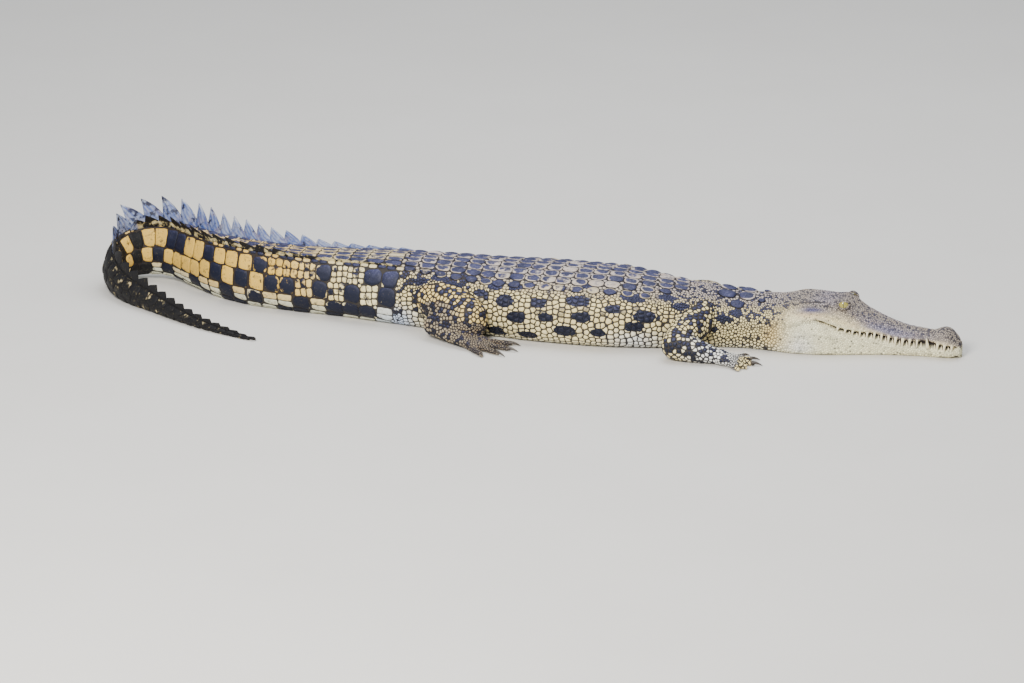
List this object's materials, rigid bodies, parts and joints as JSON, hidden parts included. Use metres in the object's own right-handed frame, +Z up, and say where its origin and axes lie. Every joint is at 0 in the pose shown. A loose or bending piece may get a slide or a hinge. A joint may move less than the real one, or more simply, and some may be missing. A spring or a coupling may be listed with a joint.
{
  "type": "saltwater crocodile model",
  "caption": "Life-size still model of a young saltwater crocodile lying on its belly, tail hooked round behind, with keeled back, double tail crest and interlocking teeth.",
  "frame": {"origin": "on the floor under the middle of the whole model's box", "axes": "+X the way the head points, +Y the animal's left side, +Z up"},
  "size_m": [1.6542, 0.6152, 0.1645],
  "materials": {
    "head_hide": "fine pebbled hide with a low sheen",
    "jaw_hide": "smooth pale scales with a low sheen",
    "body_hide": "satin horny scales over hide",
    "tail_hide": "satin horny scales over hide",
    "limb_hide": "satin small scales over hide",
    "eye": "wet gloss"
  },
  "bodies": {
    "root": {"head": "head_hide", "lower_jaw": "jaw_hide", "right_eye": "eye", "left_eye": "eye", "neck": "body_hide", "trunk": "body_hide", "tail_1": "tail_hide", "tail_2": "tail_hide", "tail_3": "tail_hide", "tail_4": "tail_hide", "tail_5": "tail_hide", "tail_6": "tail_hide", "right_upper_arm": "limb_hide", "right_forearm": "limb_hide", "right_hand": "limb_hide", "left_upper_arm": "limb_hide", "left_forearm": "limb_hide", "left_hand": "limb_hide", "right_thigh": "limb_hide", "right_shank": "limb_hide", "right_foot": "limb_hide", "left_thigh": "limb_hide", "left_shank": "limb_hide", "left_foot": "limb_hide"}
  },
  "joints": []
}
